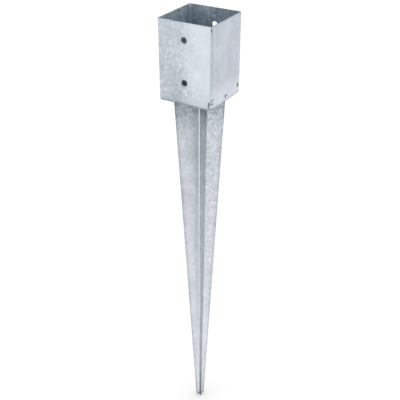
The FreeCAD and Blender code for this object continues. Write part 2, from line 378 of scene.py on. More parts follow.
@dataclass(frozen=True)
class GalvanisedFinish:
    """A hot-dip zinc coat. Weights say how far each effect moves the tone, from dark to light.

    The vertex attributes of Coat steer it. "edge" is 1 on cut edges, and "shade" darkens, or lightens
    below 0: most of the painted light and shade is put there. "burn_and_shade" marks where welding has
    blotched the coat, and on the spike it also paints the shade under the socket. "cast" turns the
    colour from bluish to lavender, "lumps" says how curdled the coat is, and "dull" makes it rougher
    and deeper in colour.
    """

    slot: Slot
    dark: Colour
    middle: Colour
    light: Colour
    blackest: float = 0.12
    whitening: float = 0.45
    cloud_scale: float = 22.0
    cloud_contrast: float = 2.2
    cloud_weight: float = 0.22
    mottle_scale: float = 150.0
    mottle_contrast: float = 2.4
    mottle_weight: float = 0.4
    spangle_scale: float = 260.0
    spangle_weight: float = 0.07
    streak_weight: float = 0.09
    streak_facing: Pair = (0.3, 0.9)
    streak_least: float = 0.2
    streak_if_dull: float = 0.4
    pearl_scale: float = 120.0
    pearl_amount: float = 0.6
    pearl_size: float = 1.7
    pearl_wander: float = 4 * MM
    pearl_weight: float = 0.5
    pearl_clouds: Pair = (0.3, 0.7)
    pearl_least: float = 0.3
    speck_amount: float = 0.02
    speck_weight: float = 0.3
    edge_weight: float = -0.25
    # How much the weld blotches darken the coat, and in what pattern; on the spike they also paint the
    # shade under the socket.
    burn_and_shade_depth: float = 0.75
    burn_and_shade_scale: float = 75.0
    burn_and_shade_blotch: float = 0.75
    burn_and_shade_fine: float = 0.45
    cast_scale: float = 34.0
    cast_patches: float = 0.7
    metallic: float = 1.0
    rough_tones: Pair = (0.2, 0.8)
    rough_low: float = 0.34
    rough_high: float = 0.55
    rough_if_dull: float = 0.3
    relief: float = 0.12 * MM
    grain_scale: float = 900.0
    mottle_relief: float = 0.5
    grain_relief: float = 0.22
    border_relief: float = -0.08
    pearl_relief: float = 0.4
    speck_relief: float = 0.6

    def material(self, effects: ZincEffects) -> bpy.types.Material:
        """Mix the effects into a material.

        Args:
            effects: The shared node groups.

        Returns:
            The material, named after the slot.
        """
        made = bpy.data.materials.new(self.slot.value)
        made.use_nodes = True
        made.node_tree.nodes.clear()
        bench = Bench(made.node_tree)
        textures = bench.add("ShaderNodeTexCoord").outputs
        layers = self._layers(bench, effects, textures["Object"])
        tone = self._tone(bench, effects, textures, layers)
        dull = self._attribute(bench, "dull")
        rough = bench.remap(tone, *self.rough_tones, self.rough_high, self.rough_low)
        rough = bench.calc("ADD", rough, bench.calc("MULTIPLY", dull, self.rough_if_dull))
        height = self._height(bench, textures["Object"], layers)
        bump = bench.add("ShaderNodeBump", {"Strength": 1.0, "Distance": self.relief, "Height": height})
        shader = bench.add(
            "ShaderNodeBsdfPrincipled",
            {
                "Base Color": self._colour(bench, effects, textures["Object"], tone, dull),
                "Metallic": self.metallic,
                "Roughness": rough,
                "Normal": bump.outputs[0],
            },
        )
        bench.add("ShaderNodeOutputMaterial", {"Surface": shader.outputs[0]})
        return made

    def _layers(self, bench: Bench, effects: ZincEffects, place: Socket) -> dict[str, bpy.types.Node]:
        """Place the effects that both the tone and the relief use.

        Args:
            bench: The material's bench.
            effects: The shared node groups.
            place: The surface's position.

        Returns:
            The group nodes by name.
        """
        cloud = {"Scale": self.cloud_scale, "Contrast": self.cloud_contrast}
        mottle = {"Scale": self.mottle_scale, "Contrast": self.mottle_contrast, "Warp": 1.0}
        pearl = {"Scale": self.pearl_scale, "Amount": self.pearl_amount}
        pearl |= {"Size": self.pearl_size, "Wander": self.pearl_wander}
        return {
            "cloud": self._effect(bench, effects.cloud, place, **cloud),
            "mottle": self._effect(bench, effects.cloud, place, **mottle),
            "spangle": self._effect(bench, effects.spangle, place, Scale=self.spangle_scale),
            "pearl": self._effect(bench, effects.speck, place, **pearl),
            "speck": self._effect(bench, effects.speck, place, Amount=self.speck_amount),
        }

    @staticmethod
    def _effect(
        bench: Bench, group: bpy.types.NodeTree, place: Socket, **values: float
    ) -> bpy.types.Node:
        """Place one effect group, fed with the surface's position.

        Args:
            bench: The material's bench.
            group: The effect's node group.
            place: The surface's position.
            **values: The group's own inputs.

        Returns:
            The group node.
        """
        node = bench.add("ShaderNodeGroup", node_tree=group)
        bench.tree.links.new(place, node.inputs["Vector"])
        for name, value in values.items():
            node.inputs[name].default_value = value
        return node

    @staticmethod
    def _attribute(bench: Bench, name: str) -> Socket:
        """A vertex attribute's value."""
        return bench.add("ShaderNodeAttribute", attribute_name=name).outputs["Fac"]

    def _tone(
        self,
        bench: Bench,
        effects: ZincEffects,
        textures: bpy.types.NodeOutputs,
        layers: dict[str, bpy.types.Node],
    ) -> Socket:
        """Add up how light the coat is, with the painted light and shade.

        Args:
            bench: The material's bench.
            effects: The shared node groups.
            textures: Outputs of the texture coordinates.
            layers: The effects that _layers placed.

        Returns:
            The tone, 0.5 where nothing acts, and past 0 and 1 in the darkest and lightest places.
        """
        cloud = layers["cloud"].outputs[0]
        lumps = self._attribute(bench, "lumps")
        swirl = bench.calc("MULTIPLY", bench.centred(layers["mottle"].outputs[0]), lumps)
        crystal = bench.calc("MULTIPLY", bench.centred(layers["spangle"].outputs["Tone"]), lumps)
        patchy = bench.remap(cloud, *self.pearl_clouds, self.pearl_least, 1.0)
        patchy = bench.calc("MULTIPLY", patchy, lumps)
        pearls = bench.calc("MULTIPLY", layers["pearl"].outputs[0], patchy)
        weighted = (
            (bench.centred(cloud), self.cloud_weight),
            (swirl, self.mottle_weight),
            (crystal, self.spangle_weight),
            (self._side_streaks(bench, effects, textures), self.streak_weight),
            (pearls, self.pearl_weight),
            (layers["speck"].outputs[0], -self.speck_weight),
            (self._attribute(bench, "edge"), self.edge_weight),
            (self._attribute(bench, "shade"), -1.0),
            (self._burn_and_shade(bench, effects, textures["Object"]), -self.burn_and_shade_depth),
        )
        tone: Feed = 0.5
        for value, weight in weighted:
            tone = bench.calc("MULTIPLY_ADD", value, weight, tone)
        return tone

    def _side_streaks(
        self, bench: Bench, effects: ZincEffects, textures: bpy.types.NodeOutputs
    ) -> Socket:
        """Upright runs that show on the faces that look left and right.

        Args:
            bench: The material's bench.
            effects: The shared node groups.
            textures: Outputs of the texture coordinates.

        Returns:
            Their tone, from -0.5 to 0.5.
        """
        streak = self._effect(bench, effects.streak, textures["Object"])
        normal = bench.add("ShaderNodeSeparateXYZ", {0: textures["Normal"]}).outputs[0]
        sideways = bench.remap(bench.calc("ABSOLUTE", normal), *self.streak_facing, self.streak_least, 1.0)
        shown = bench.remap(self._attribute(bench, "dull"), 0.0, 1.0, 1.0, self.streak_if_dull)
        runs = bench.calc("MULTIPLY", bench.centred(streak.outputs[0]), sideways)
        return bench.calc("MULTIPLY", runs, shown)

    def _burn_and_shade(self, bench: Bench, effects: ZincEffects, place: Socket) -> Socket:
        """Blotches where the part was welded; on the spike they also paint the shade under the socket.

        Args:
            bench: The material's bench.
            effects: The shared node groups.
            place: The surface's position.

        Returns:
            How much of the coat's tone is lost.
        """
        scale = self.burn_and_shade_scale
        blotch = self._effect(bench, effects.cloud, place, Scale=scale, Contrast=4.0, Warp=2.2)
        fine = self._effect(bench, effects.cloud, place, Scale=4 * scale, Contrast=3.0, Warp=1.0)
        both = bench.calc("MULTIPLY", blotch.outputs[0], self.burn_and_shade_blotch)
        both = bench.calc("MULTIPLY_ADD", fine.outputs[0], self.burn_and_shade_fine, both)
        return bench.calc("MULTIPLY", both, self._attribute(bench, "burn_and_shade"))

    def _colour(
        self, bench: Bench, effects: ZincEffects, place: Socket, tone: Socket, dull: Socket
    ) -> Socket:
        """Colour the tone, with a cast that changes in broad patches and is deeper where dull.

        Args:
            bench: The material's bench.
            effects: The shared node groups.
            place: The surface's position.
            tone: How light the coat is.
            dull: Where it is dull, from 0 to 1.

        Returns:
            The coat's colour.
        """
        black = tuple(self.blackest * part for part in self.dark)
        white = tuple(part + self.whitening * (1.0 - part) for part in self.light)
        low, high = TONE_RANGE
        spread = bench.add("ShaderNodeMapRange", {"Value": tone, 1: low, 2: high}).outputs[0]
        tones = (black, self.dark, self.middle, self.light, white)
        colour = bench.ramp(spread, tuple(zip(TONE_STOPS, tones)))
        patch = self._effect(
            bench, effects.cloud, place, Scale=self.cast_scale, Contrast=2.6, Warp=0.4
        )
        share = bench.calc("MULTIPLY", patch.outputs[0], self.cast_patches)
        share = bench.calc("ADD", share, self._attribute(bench, "cast"))
        cast = bench.ramp(share, ((0.0, BLUISH_CAST), (1.0, LAVENDER_CAST)))
        return bench.multiplied(dull, bench.multiplied(1.0, colour, cast), DEEP_CAST)

    def _height(self, bench: Bench, place: Socket, layers: dict[str, bpy.types.Node]) -> Socket:
        """Add up the coat's relief: lumps, a fine grain, crystal borders and dross.

        Args:
            bench: The material's bench.
            place: The surface's position.
            layers: The effects that _layers placed.

        Returns:
            The height, 0 to about 1.
        """
        sockets = {"Vector": place, "Scale": self.grain_scale, "Detail": 3.0}
        grain = bench.add("ShaderNodeTexNoise", sockets).outputs[0]
        weighted = (
            (grain, self.grain_relief),
            (layers["spangle"].outputs["Border"], self.border_relief),
            (layers["pearl"].outputs[0], self.pearl_relief),
            (layers["speck"].outputs[0], self.speck_relief),
        )
        height = bench.calc("MULTIPLY", layers["mottle"].outputs[0], self.mottle_relief)
        for value, weight in weighted:
            height = bench.calc("MULTIPLY_ADD", value, weight, height)
        return height


# ---------------------------------------------------------------------------------------------
# Sheet parts
# ---------------------------------------------------------------------------------------------


FINE_STEP = 0.5 * MM
MOST_STEPS = 12


@dataclass(frozen=True)
class Outline:
    """A closed outline with rounded corners, drawn anticlockwise on the flat blank as (run, rise).

    Its cut edge is darkened by an amount of painted shade, or lit by painted light where the amount is
    below 0.
    """

    corners: tuple[Point2, ...]
    radius: float
    hole: bool = False
    painted_edge_shade: float = 0.0

    @classmethod
    def slot(
        cls, centre: Point2, width: float, height: float, radius: float, painted_edge_shade: float = 1.2
    ) -> "Outline":
        """A hole: a rounded rectangle, which is a slot or a circle if the radius is half its width.

        Args:
            centre: Its middle.
            width: Its size along the run.
            height: Its size along the rise.
            radius: Of its corners.
            painted_edge_shade: The painted shade on the hole's inner wall.

        Returns:
            The outline.
        """
        run, rise = centre
        half_w, half_h = width / 2, height / 2
        corners = (
            (run - half_w, rise - half_h),
            (run + half_w, rise - half_h),
            (run + half_w, rise + half_h),
            (run - half_w, rise + half_h),
        )
        roundest = 0.999 * min(half_w, half_h)
        return cls(corners, min(radius, roundest), True, painted_edge_shade)

    def trace(self, spacing: float, inset: float = 0.0) -> list[tuple[Vector, Vector]]:
        """Points along the outline, with the directions that lead out of the sheet's material.

        Args:
            spacing: The largest step between points.
            inset: How far inside the material the points lie.

        Returns:
            (point, outward direction) pairs.
        """
        away = -1.0 if self.hole else 1.0
        traced: list[tuple[Vector, Vector]] = []
        for index, corner in enumerate(self.corners):
            here = Vector(corner)
            before, after, turn = self._turn_at(index)
            reach = self.radius * math.tan(abs(turn) / 2)
            bulge = math.copysign(self.radius, turn)
            out = Vector((before.y, -before.x))
            centre = here - before * reach - out * bulge
            steps = min(MOST_STEPS, max(3, math.ceil(abs(turn) * self.radius / FINE_STEP)))
            for step in range(steps + 1):
                facing = out.copy()
                facing.rotate(Matrix.Rotation(turn * step / steps, 2))
                traced.append((centre + facing * (bulge - inset * away), facing * away))
            following = (index + 1) % len(self.corners)
            next_turn = self._turn_at(following)[2]
            start = here + after * reach
            end = Vector(self.corners[following]) - after * self.radius * math.tan(abs(next_turn) / 2)
            gaps = max(1, math.ceil((end - start).length / spacing))
            facing = Vector((after.y, -after.x)) * away
            for step in range(1, gaps):
                traced.append((start.lerp(end, step / gaps) - facing * inset, facing))
        return self._without_doubles(traced)

    def _turn_at(self, index: int) -> tuple[Vector, Vector, float]:
        """Measure how the outline turns at a corner.

        Args:
            index: The corner's place in the outline.

        Returns:
            The directions before and after it, and the anticlockwise turn between them.
        """
        here = Vector(self.corners[index])
        before = (here - Vector(self.corners[index - 1])).normalized()
        after = (Vector(self.corners[(index + 1) % len(self.corners)]) - here).normalized()
        return before, after, math.atan2(before.cross(after), before.dot(after))

    @staticmethod
    def _without_doubles(traced: list[tuple[Vector, Vector]]) -> list[tuple[Vector, Vector]]:
        """Leave out points that fall on the one before them, as at the ends of a round slot.

        Args:
            traced: (point, outward direction) pairs in order.

        Returns:
            Those that stand apart.
        """
        nearest = 0.02 * MM
        kept: list[tuple[Vector, Vector]] = []
        for point, out in traced:
            if not kept or (point - kept[-1][0]).length > nearest:
                kept.append((point, out))
        if (kept[0][0] - kept[-1][0]).length < nearest:
            kept.pop()
        return kept


def fade(value: float, start: float, end: float) -> float:
    """A smooth step from 0 at start to 1 at end; end may be below start."""
    share = min(1.0, max(0.0, (value - start) / (end - start)))
    return share * share * (3 - 2 * share)


def between(ends: Pair, share: float) -> float:
    """The number at a share of the way from the first end to the second."""
    return ends[0] + (ends[1] - ends[0]) * share


@dataclass(frozen=True)
class Drift:
    """A smooth change by an amount, which begins at start and is complete at end."""

    amount: float
    start: float
    end: float

    def at(self, place: float) -> float:
        """The change at a place."""
        return self.amount * fade(place, self.start, self.end)


@dataclass(frozen=True)
class Coat:
    """State of the zinc, and of the light and shade painted on it, at one place; GalvanisedFinish says
    what the numbers do.
    """

    shade: float = 0.0
    burn_and_shade: float = 0.0
    cast: float = 0.15
    lumps: float = 0.3
    dull: float = 0.0
    edge: float = 0.0


class CoatedMesh:
    """A mesh under construction, with the coat's state stored at every vertex."""

    def __init__(self) -> None:
        """Start empty, with room for the coat."""
        self.build = bmesh.new()
        new_layer = self.build.verts.layers.float.new
        self._layers = {item.name: new_layer(item.name) for item in fields(Coat)}

    def vertex(self, place: Vector, coat: Coat) -> bmesh.types.BMVert:
        """Add a vertex.

        Args:
            place: Where it is.
            coat: The coat there.

        Returns:
            The vertex.
        """
        made = self.build.verts.new(place)
        for name, layer in self._layers.items():
            made[layer] = getattr(coat, name)
        return made

    def skin(self, rings: Sequence[Sequence[bmesh.types.BMVert]]) -> None:
        """Join closed rings of equally many vertices, each to the next."""
        for one, other in zip(rings, rings[1:]):
            for i in range(len(one)):
                j = (i + 1) % len(one)
                self.build.faces.new((one[i], one[j], other[j], other[i]))

    def finish(self, name: str, turn: Matrix) -> bpy.types.Mesh:
        """Turn the mesh into its place, and smooth it.

        Args:
            name: The mesh's name.
            turn: Rotation that takes the part to its place.

        Returns:
            The mesh, without loose points.
        """
        loose = [vertex for vertex in self.build.verts if not vertex.link_faces]
        bmesh.ops.delete(self.build, geom=loose, context="VERTS")
        bmesh.ops.transform(self.build, matrix=turn, verts=self.build.verts)
        bmesh.ops.recalc_face_normals(self.build, faces=self.build.faces)
        for face in self.build.faces:
            face.smooth = True
        mesh = bpy.data.meshes.new(name)
        self.build.to_mesh(mesh)
        self.build.free()
        return mesh


FILL_INSIDE = 1
SAME_POINT = 1e-8


@dataclass
class Blank:
    """A flat sheet with holes, ready to triangulate."""

    outline: Outline
    holes: tuple[Outline, ...]
    grid: float
    rounding: float
    columns: tuple[float, ...] = ()
    support: float = 0.7 * MM

    def __post_init__(self) -> None:
        """Trace the edges once."""
        self.loops = [item.trace(self.grid, self.rounding) for item in (self.outline, *self.holes)]
        dense = [p for item in (self.outline, *self.holes) for p, _ in item.trace(FINE_STEP)]
        self.edge_tree = kdtree.KDTree(len(dense))
        for index, point in enumerate(dense):
            self.edge_tree.insert(point.to_3d(), index)
        self.edge_tree.balance()

    def edge_distance(self, point: Vector) -> float:
        """How far a point is from the nearest cut edge."""
        return self.edge_tree.find(point.to_3d())[2]

    def triangles(self) -> tuple[list[Vector], list[list[int]], list[list[int]]]:
        """Fill the blank with triangles.

        Returns:
            The points, the triangles, and for each edge loop the indices of its points.
        """
        points: list[Vector] = []
        edges: list[tuple[int, int]] = []
        rims: list[list[int]] = []
        for loop in self.loops:
            rim = list(range(len(points), len(points) + len(loop)))
            points += [point for point, _ in loop]
            edges += list(zip(rim, rim[1:] + rim[:1]))
            rims.append(rim)
        support = self.rounding + self.support
        for item in (self.outline, *self.holes):
            points += [point for point, _ in item.trace(self.grid, support)]
        points += self._filling(support + 0.3 * self.grid)
        filled = geometry.delaunay_2d_cdt(points, edges, [], FILL_INSIDE, SAME_POINT, True)
        flat, _, faces, sources, _, _ = filled
        place = {source: index for index, found in enumerate(sources) for source in found}
        rims = [[place[index] for index in rim] for rim in rims]
        hole_loops = [[point for point, _ in loop] for loop in self.loops[1:]]
        kept = []
        for face in faces:
            middle = sum((flat[i] for i in face), Vector((0.0, 0.0))) / len(face)
            if not any(self._inside(loop, middle) for loop in hole_loops):
                kept.append(list(face))
        return flat, kept, rims

    def _filling(self, margin: float) -> list[Vector]:
        """Spread points over the blank on a grid.

        Args:
            margin: The least distance from every cut edge.

        Returns:
            The points.
        """
        border = [point for point, _ in self.loops[0]]
        hole_loops = [[point for point, _ in loop] for loop in self.loops[1:]]
        rises = [point.y for point in border]
        low, high = min(rises), max(rises)
        rows = max(2, round((high - low) / self.grid))
        filling = []
        for row in range(1, rows):
            rise = low + (high - low) * row / rows
            for run in self.columns:
                point = Vector((run, rise))
                if self.edge_distance(point) < margin or not self._inside(border, point):
                    continue
                if not any(self._inside(loop, point) for loop in hole_loops):
                    filling.append(point)
        return filling

    @staticmethod
    def _inside(loop: list[Vector], point: Vector) -> bool:
        """Test whether a point is inside a closed loop.

        Args:
            loop: The loop's points in order.
            point: The point to test.

        Returns:
            True if it is inside.
        """
        found = False
        for start, end in zip(loop, loop[1:] + loop[:1]):
            if (start.y > point.y) != (end.y > point.y):
                share = (point.y - start.y) / (end.y - start.y)
                if point.x < start.x + share * (end.x - start.x):
                    found = not found
        return found


@dataclass
class SheetPart:
    """A part cut from sheet: a blank with rounded cut edges and the zinc coat's slight lumps."""

    thickness: float = SHEET
    rounding: float = 0.4 * MM
    rounding_steps: int = 3
    grid: float = 3.6 * MM
    lump_height: float = 0.05 * MM
    lump_size: float = 9.0 * MM
    lump_spread: float = 4.0
    side_offset: float = 7.3
    seed: float = 0.0
    edge_fade: float = 1.3 * MM

    def blank(self) -> Blank:
        """The flat sheet."""
        raise NotImplementedError

    def place(self, run: float, depth: float, rise: float) -> tuple[Vector, Vector]:
        """Find where a point of the blank lies on the finished part.

        Args:
            run: Along the blank.
            depth: Below the outer face.
            rise: Across the blank.

        Returns:
            The point, and the direction out of the outer face there.
        """
        raise NotImplementedError

    def coat(self, run: float, facing: float, rise: float) -> Coat:
        """Say how the zinc is, and what light and shade are painted on it, at a place on the blank.

        Args:
            run: Along the blank.
            facing: 1 on the outer face and -1 on the inner one.
            rise: Across the blank.

        Returns:
            The coat there.
        """
        return Coat()

    def mesh(self, name: str, turn: Matrix) -> bpy.types.Mesh:
        """Build the part.

        Args:
            name: The mesh's name.
            turn: Rotation that takes the part to its place.

        Returns:
            A closed mesh, in its coat.
        """
        blank = self.blank()
        flat, faces, rims = blank.triangles()
        sheet = CoatedMesh()
        outer = [self._vertex(sheet, blank, point, 1.0) for point in flat]
        inner = [self._vertex(sheet, blank, point, -1.0) for point in flat]
        for face in faces:
            sheet.build.faces.new([outer[i] for i in face])
            sheet.build.faces.new([inner[i] for i in reversed(face)])
        for item, loop, rim in zip((blank.outline, *blank.holes), blank.loops, rims):
            rings = self._edge_rings(sheet, loop, item.painted_edge_shade)
            sheet.skin([[outer[i] for i in rim], *rings, [inner[i] for i in rim]])
        return sheet.finish(name, turn)

    def _vertex(
        self, sheet: CoatedMesh, blank: Blank, point: Vector, facing: float
    ) -> bmesh.types.BMVert:
        """Add a vertex of one flat face, moved a little by the coat's lumps.

        Args:
            sheet: The mesh to add to.
            blank: The flat sheet.
            point: Where it is on the blank.
            facing: 1 on the outer face and -1 on the inner one.

        Returns:
            The vertex.
        """
        depth = 0.0 if facing > 0 else self.thickness
        here, out = self.place(point.x, depth, point.y)
        shift = Vector((self.seed, facing * self.side_offset, 0.0))
        lump = noise.noise(here / self.lump_size + shift)
        lump += noise.noise(here / (self.lump_spread * self.lump_size) - shift)
        near = math.exp(-blank.edge_distance(point) / self.edge_fade)
        coat = replace(self.coat(point.x, facing, point.y), edge=near)
        return sheet.vertex(here + out * facing * self.lump_height * lump, coat)

    def _edge_rings(
        self, sheet: CoatedMesh, loop: list[tuple[Vector, Vector]], painted_edge_shade: float
    ) -> list[list[bmesh.types.BMVert]]:
        """Add the vertices of one cut edge between the two faces, rounded on both sides.

        Args:
            sheet: The mesh to add to.
            loop: The edge's points, with the directions out of the material.
            painted_edge_shade: The painted shade on the cut edge, or painted light where it is below 0.

        Returns:
            Rings of vertices, from the outer face to the inner one.
        """
        steps = self.rounding_steps
        angles = [math.pi / 2 * step / steps for step in range(1, steps + 1)]
        profile = [(self.rounding * (1 - math.cos(a)), self.rounding * math.sin(a)) for a in angles]
        profile += [(self.thickness - depth, beyond) for depth, beyond in reversed(profile)]
        rings = []
        for depth, beyond in profile:
            facing = 1.0 - 2.0 * depth / self.thickness
            ring = []
            for point, out in loop:
                moved = point + out * beyond
                coat = self.coat(point.x, facing, point.y)
                # Painted shade on the cut edge, strongest midway through the sheet.
                coat = replace(coat, edge=1.0, shade=coat.shade + painted_edge_shade * (1 - abs(facing)))
                ring.append(sheet.vertex(self.place(moved.x, depth, moved.y)[0], coat))
            rings.append(ring)
        return rings


@dataclass
class FoldedSheet(SheetPart):
    """A sheet folded to a right angle about an upright line.

    The run is measured from the middle of the fold, and the rise is Z. The outer faces would meet
    at (corner, corner), and the arms lead from there along +X (negative run) and +Y.
    """

    corner: float = 0.0
    inner_bend: float = 2.0 * MM
    folds: int = 8

    @property
    def outer_bend(self) -> float:
        """Radius of the fold's outer face."""
        return self.inner_bend + self.thickness

    @property
    def half_bend(self) -> float:
        """Half the length of flat sheet that the fold uses up."""
        return math.pi / 4 * (self.inner_bend + self.thickness / 2)

    def run_to(self, reach: float) -> float:
        """The run, without its sign, to a place at this distance along X or Y."""
        return self.half_bend + reach - self.corner - self.outer_bend

    def columns(self, left: float, right: float) -> tuple[float, ...]:
        """Place the filling's columns, close together across the fold and even along the arms.

        Args:
            left: Length of the arm with negative runs.
            right: Length of the other arm.

        Returns:
            The columns' runs.
        """
        found = [self.half_bend * (2 * i / self.folds - 1) for i in range(self.folds + 1)]
        for sign, reach in ((-1.0, left), (1.0, right)):
            count = max(1, round((reach - self.half_bend) / self.grid))
            step = (reach - self.half_bend) / count
            found += [sign * (self.half_bend + step * (i + 1)) for i in range(count)]
        return tuple(found)

    def place(self, run: float, depth: float, rise: float) -> tuple[Vector, Vector]:
        """Find where a point of the blank lies on the folded sheet.

        Args:
            run: Along the blank, from the middle of the fold.
            depth: Below the outer face.
            rise: The height.

        Returns:
            The point, and the direction out of the outer face there.
        """
        tangent = self.corner + self.outer_bend
        if run <= -self.half_bend:
            return Vector((tangent - run - self.half_bend, self.corner + depth, rise)), Vector((0, -1, 0))
        if run >= self.half_bend:
            return Vector((self.corner + depth, tangent + run - self.half_bend, rise)), Vector((-1, 0, 0))
        angle = (run / self.half_bend + 1) * math.pi / 4
        out = Vector((-math.sin(angle), -math.cos(angle), 0))
        return Vector((tangent, tangent, rise)) + out * (self.outer_bend - depth), out


@dataclass
class SocketShell(FoldedSheet):
    """Two walls of the socket: the front and left ones, or those turned half a turn.

    The long wall has the bolt holes and runs from the fold to the far wall's outer face, and the
    short one has the tab slot and stops at the far wall's inner face. In the coat's sizes, outward
    is a share of a wall's width from the fold, and foot and head are shares of its height.
    """

    corner: float = -WALL_FACE
    long_reach: float = WALL_FACE
    short_reach: float = WALL_INSIDE
    height: float = RIM
    corner_radius: float = 0.4 * MM
    bolt_radius: float = 5.5 * MM
    bolt_heights: Pair = (40.0 * MM, 115.0 * MM)
    tab_slot_size: Point2 = (9.4 * MM, 4.0 * MM)
    tab_slot_height: float = 8.8 * MM
    tab_slot_radius: float = 0.5 * MM
    # Painted shade inside the tab slot, fainter than in the other holes.
    tab_slot_painted_shade: float = 0.2
    corner_slot_size: Point2 = (2.2 * MM, 11.0 * MM)
    corner_slot_place: Point2 = (48.7 * MM, 9.0 * MM)
    bend_slot_size: Point2 = (4.0 * MM, 7.5 * MM)
    bend_slot_place: Point2 = (-44.0 * MM, 14.95 * MM)
    foot_line: float = 0.7
    foot_line_height: float = 1.5 * MM
    # Painted shade on the inner faces, inside the socket.
    lining: Coat = Coat(shade=0.2, cast=0.1, lumps=1.5, dull=1.0)
    # Painted light and shade on the outer faces: the long wall lighter away from the fold, lighter at the
    # top near the fold and darker low down; the short wall lighter low down.
    long_wall: Coat = Coat(shade=0.10, cast=0.3, lumps=1.0)
    long_outward_shade: Drift = Drift(-0.38, 0.25, 0.85)
    long_outward_lumps: Drift = Drift(-0.75, 0.45, 0.85)
    long_foot: Drift = Drift(1.0, 0.4, 0.0)
    long_foot_shade: Pair = (0.05, 0.29)
    long_head_shade: Drift = Drift(-0.11, 0.6, 1.0)
    short_wall: Coat = Coat(shade=0.04, cast=0.65, lumps=0.2)
    short_foot_shade: Drift = Drift(-0.24, 0.3, 0.0)
    short_outward_cast: Drift = Drift(-0.7, 0.6, 0.85)

    def blank(self) -> Blank:
        """Lay out the flat sheet with its bolt holes, drain slots and tab slot.

        Returns:
            The blank.
        """
        left, right = self.run_to(self.long_reach), self.run_to(self.short_reach)
        corners = ((-left, 0.0), (right, 0.0), (right, self.height), (-left, self.height))
        middle = self.run_to(0.0)
        across = 2 * self.bolt_radius
        holes = [
            Outline.slot((-middle, height), across, across, self.bolt_radius)
            for height in self.bolt_heights
        ]
        tab_slot = (middle, self.tab_slot_height), *self.tab_slot_size, self.tab_slot_radius
        holes.append(Outline.slot(*tab_slot, self.tab_slot_painted_shade))
        reach, height = self.corner_slot_place
        width = self.corner_slot_size[0]
        holes.append(Outline.slot((-self.run_to(reach), height), *self.corner_slot_size, width / 2))
        reach, height = self.bend_slot_place
        width = self.bend_slot_size[0]
        holes.append(Outline.slot((self.run_to(reach), height), *self.bend_slot_size, width / 2))
        outline = Outline(corners, self.corner_radius)
        return Blank(outline, tuple(holes), self.grid, self.rounding, self.columns(left, right))

    def coat(self, run: float, facing: float, rise: float) -> Coat:
        """Say how the zinc is, with light and shade painted on: the long wall is darker towards the fold
        and low down, the short wall lighter low down.

        Args:
            run: Along the blank, negative on the long wall.
            facing: 1 on the outer face and -1 on the inner one.
            rise: The height.

        Returns:
            The coat there.
        """
        level = rise / self.height
        foot_line = self.foot_line * math.exp(-rise / self.foot_line_height)
        if facing < 0:
            return replace(self.lining, shade=self.lining.shade + foot_line)
        if run < 0:
            wall = self.long_wall
            across = -run / self.run_to(self.long_reach)
            shade = wall.shade + foot_line + self.long_outward_shade.at(across)
            shade += between(self.long_foot_shade, across) * self.long_foot.at(level)
            shade += self.long_head_shade.at(level) * (1 - across)
            lumps = wall.lumps + self.long_outward_lumps.at(across)
            return replace(wall, shade=shade, cast=wall.cast * (1 - across), lumps=lumps)
        wall = self.short_wall
        across = run / self.run_to(self.short_reach)
        shade = wall.shade + foot_line + self.short_foot_shade.at(level)
        return replace(wall, shade=shade, cast=wall.cast + self.short_outward_cast.at(across))


